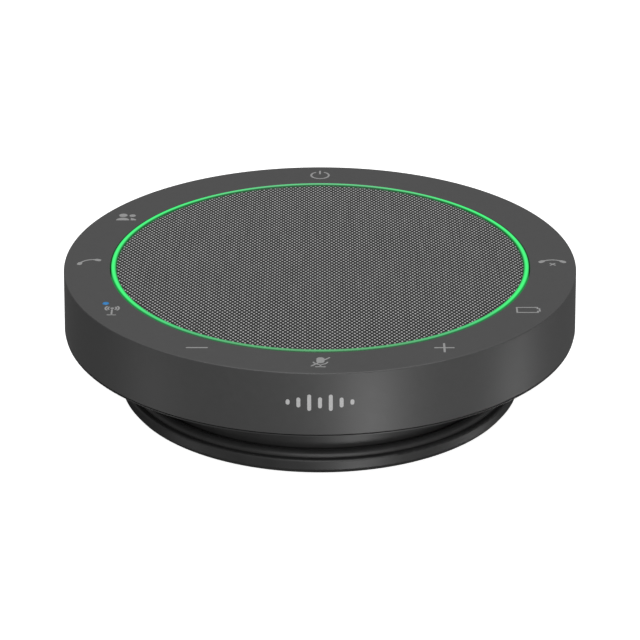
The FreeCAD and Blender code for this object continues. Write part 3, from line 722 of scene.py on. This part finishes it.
def circuit_board():
    """Green solder mask with lighter copper tracks showing through."""
    material = new_material("board", Roughness=0.35, Coat_Weight=0.3)
    cells = node(material, "TexVoronoi", {"Vector": place_in(material, (1.4, 1.4, 1.4))},
                 feature="DISTANCE_TO_EDGE", distance="EUCLIDEAN").outputs["Distance"]
    link(material, shades(material, cells, (0.05, 0.26, 0.12, 1), (0.015, 0.12, 0.05, 1),
                          0.05, 0.09), "Base Color")
    link(material, relief(material, cells, 0.02), "Normal")
    return material


def wound_copper():
    """Enamelled wire, one turn above another."""
    material = new_material("coil_copper", Metallic=1.0, Roughness=0.3)
    rows = node(material, "TexWave", {"Vector": place_in(material), "Scale": 1.0},
                bands_direction="Z").outputs["Fac"]
    link(material, shades(material, rows, (0.35, 0.13, 0.05, 1), (0.80, 0.38, 0.20, 1)),
         "Base Color")
    link(material, relief(material, rows, 0.05), "Normal")
    return material


def speckled_ink(name, specular, dark, light, roughness):
    """Matt grey ink, slightly thin in places."""
    material = new_material(name, Specular_IOR_Level=specular)
    speck = noise(material, SPECK_SIZE)
    link(material, shades(material, speck, grey(dark), grey(light)), "Base Color")
    link(material, between(material, speck, *roughness), "Roughness")
    return material


# soft-touch rubber, mouldings, metals and papers, by slot
GRAINED = {
    "skin": dict(dark=grey(0.060), light=grey(0.066), grain=0.16, height=0.0035,
                 roughness=(0.40, 0.46), Specular_IOR_Level=0.45),
    "frame_plastic": dict(dark=grey(0.030), light=grey(0.042), grain=0.3, height=0.01,
                          roughness=(0.5, 0.65)),
    "case_plastic": dict(dark=grey(0.030), light=grey(0.038), grain=0.22, height=0.008,
                         roughness=(0.40, 0.48)),
    "foot_rubber": dict(dark=grey(0.020), light=grey(0.030), grain=0.25, height=0.01,
                        roughness=(0.7, 0.85)),
    "plate_metal": dict(dark=grey(0.012), light=grey(0.022), grain=0.2, height=0.006,
                        roughness=(0.45, 0.6)),
    "chip": dict(dark=grey(0.010), light=grey(0.022), grain=0.15, height=0.006,
                 roughness=(0.45, 0.6)),
    "can_metal": dict(dark=grey(0.52), light=grey(0.66), grain=0.2, height=0.002,
                      roughness=(0.28, 0.4), stretch=(12, 1, 1), Metallic=1.0),
    "led_white": dict(dark=(0.80, 0.80, 0.70, 1), light=(0.90, 0.90, 0.84, 1), grain=0.2,
                      height=0.002, roughness=(0.3, 0.4)),
    "magnet_steel": dict(dark=grey(0.40), light=grey(0.55), grain=0.2, height=0.003,
                         roughness=(0.25, 0.4), Metallic=1.0),
    "cone_paper": dict(dark=grey(0.015), light=grey(0.045), grain=0.25, height=0.02,
                       roughness=(0.75, 0.9), stretch=(1, 4, 1)),
    "cell_wrap": dict(dark=(0.03, 0.08, 0.22, 1), light=(0.04, 0.11, 0.28, 1), grain=1.5,
                      height=0.03, roughness=(0.25, 0.35)),
    "screw_steel": dict(dark=grey(0.28), light=grey(0.42), grain=0.12, height=0.002,
                        roughness=(0.25, 0.4), Metallic=1.0),
    "lead_jacket": dict(dark=grey(0.034), light=grey(0.046), grain=0.2, height=0.006,
                        roughness=(0.36, 0.46)),
    "plug_metal": dict(dark=grey(0.62), light=grey(0.78), grain=0.15, height=0.001,
                       roughness=(0.16, 0.26), stretch=(1, 6, 1), Metallic=1.0),
}


# ---------------------------------------------------------------- stage

STAGE_REACH = 8.0
FLOOR_GLOW = 0.95
BOUNCE_GREY = 0.18
ROOM_LIGHT = 0.226

# name, polar angle, height angle, distance, width, height and power of each soft light
LIGHTS = (
    ("overhead", 90, 82, 1400, 1200, 1200, 14.4),
    ("front_fill", -86, 30, 1300, 900, 400, 3.5),
    ("front_low", -78, 6, 900, 600, 120, 1.2),
    ("front_strip", -69, -25, 700, 130, 240, 1.12),
    ("side_strip", 2, -25, 700, 100, 240, 0.36),
    ("left_strip", -166, -25, 700, 200, 240, 0.17),
)
LIGHTS_AIM = (0, 0, 25)


def camera():
    data = bpy.data.cameras.new("camera")
    data.sensor_width = CAMERA_SENSOR
    data.lens = CAMERA_LENS
    data.clip_start, data.clip_end = CAMERA_CLIP
    made = bpy.data.objects.new("camera", data)
    bpy.context.scene.collection.objects.link(made)
    rise = math.radians(CAMERA_RISE)
    made.location = (0, -CAMERA_DISTANCE * math.cos(rise) * MM,
                     (DISC_TOP + CAMERA_DISTANCE * math.sin(rise)) * MM)
    made.rotation_euler = (math.radians(90 - CAMERA_DIP), 0, 0)
    bpy.context.scene.camera = made


def area_light(name, turn, rise, distance, width, height, power):
    """A soft light this far out, at this polar angle and height angle, aimed at a point."""
    data = bpy.data.lights.new(name, "AREA")
    data.shape = "RECTANGLE"
    data.size, data.size_y = width * MM, height * MM
    data.energy = power
    data.cycles.use_multiple_importance_sampling = False
    made = bpy.data.objects.new(name, data)
    bpy.context.scene.collection.objects.link(made)
    turn, rise = math.radians(turn), math.radians(rise)
    target = Vector(LIGHTS_AIM) * MM
    away = Vector((math.cos(turn) * math.cos(rise), math.sin(turn) * math.cos(rise),
                   math.sin(rise)))
    made.location = target + away * distance * MM
    made.rotation_euler = away.to_track_quat("Z", "Y").to_euler()
    made.visible_camera = False


def glow_material(name, strength, colour):
    """An evenly pale surface that isn't sampled as a light."""
    material = new_material(name, Base_Color=colour, Roughness=0.9, Emission_Color=grey(1.0),
                            Emission_Strength=strength)
    material.cycles.emission_sampling = "NONE"
    return material


def plane(name, height, material):
    """A level sheet of the stage, at a height in metres."""
    size = STAGE_REACH
    mesh = bpy.data.meshes.new(name)
    mesh.from_pydata([(-size, -size, height), (size, -size, height), (size, size, height),
                      (-size, size, height)], [], [(0, 1, 2, 3)])
    mesh.materials.append(material)
    made = bpy.data.objects.new(name, mesh)
    bpy.context.scene.collection.objects.link(made)
    return made


def stage():
    """A pale floor that runs into a pale backdrop, and the room's soft light.

    What the camera sees of the floor is evenly pale. A darker sheet under it, which the camera
    doesn't see, throws light back on to the object. Neither casts a shadow, so the three strips
    shine up from below the floor.
    """
    floor = plane("floor", 0.0, glow_material("floor", FLOOR_GLOW, grey(0.5)))
    bounce = plane("bounce", -MM, new_material("bounce", Base_Color=grey(BOUNCE_GREY),
                                               Roughness=0.9))
    dome_mesh = bpy.data.meshes.new("backdrop")
    shape = bmesh.new()
    bmesh.ops.create_uvsphere(shape, u_segments=48, v_segments=24,
                              radius=STAGE_REACH)
    shape.to_mesh(dome_mesh)
    shape.free()
    dome_mesh.materials.append(glow_material("backdrop", 1.0, grey(0.0)))
    backdrop = bpy.data.objects.new("backdrop", dome_mesh)
    bpy.context.scene.collection.objects.link(backdrop)
    for item in (floor, backdrop):
        item.visible_diffuse = False
        item.visible_glossy = False
        item.visible_transmission = False
        item.visible_shadow = False
    bounce.visible_camera = False
    bounce.visible_shadow = False
    world = bpy.data.worlds.new("room")
    bpy.context.scene.world = world
    world.use_nodes = True
    world.node_tree.nodes["Background"].inputs["Color"].default_value = grey(1.0)
    world.node_tree.nodes["Background"].inputs["Strength"].default_value = ROOM_LIGHT
    bpy.context.scene.view_settings.view_transform = "Standard"


# ---------------------------------------------------------------- assembly

camera()
stage()
for light in LIGHTS:
    area_light(*light)

materials = {slot: grained(slot, **look) for slot, look in GRAINED.items()}
materials.update(cloth=cloth_weave(), light=glowing_ring(), status_light=glowing_dot(),
                 board=circuit_board(), coil_copper=wound_copper())
ink = speckled_ink("ink", 0.3, 0.28, 0.34, (0.55, 0.75))
pale_ink = speckled_ink("pale_ink", 0.4, 0.50, 0.60, (0.4, 0.6))

cover = skin()
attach(cover, "root")
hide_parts("soft_skin")
cover.data.materials.append(materials["skin"])

for key in KEYS:
    over = patch(key)
    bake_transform(over)
    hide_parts("key_" + key)
    over.data.materials.append(materials["skin"])

SIGNS = {
    "power": power_sign, "people": people_sign, "answer": answer_sign,
    "wireless": wireless_sign, "volume_down": volume_down_sign, "mute": mute_sign,
    "volume_up": volume_up_sign, "battery": battery_sign, "end_call": end_call_sign,
}
for key, draw in SIGNS.items():
    sign = key_sign("sign_" + key, key, draw())
    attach(sign, key + "_key")
    sign.data.materials.append(ink)
slash = key_sign("sign_mute_slash", "mute", mute_slash_sign(), SLASH_LIFT)
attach(slash, "mute_key")
slash.data.materials.append(ink)

mark = level_mark()
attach(mark, "root")
mark.data.materials.append(pale_ink)

for piece, node_name, body, slot in (
        (woven_cloth(), "grille_cloth", "root", "cloth"),
        (light_ring(), "light_guide", "root", "light"),
        (status_light(), "status_lens", "wireless_key", "status_light")):
    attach(piece, body)
    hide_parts(node_name)
    piece.data.materials.append(materials[slot])

for piece in frame["nodes"].values():
    for spot in piece.material_slots:
        spot.material = materials[spot.material.name.split(".")[0]]
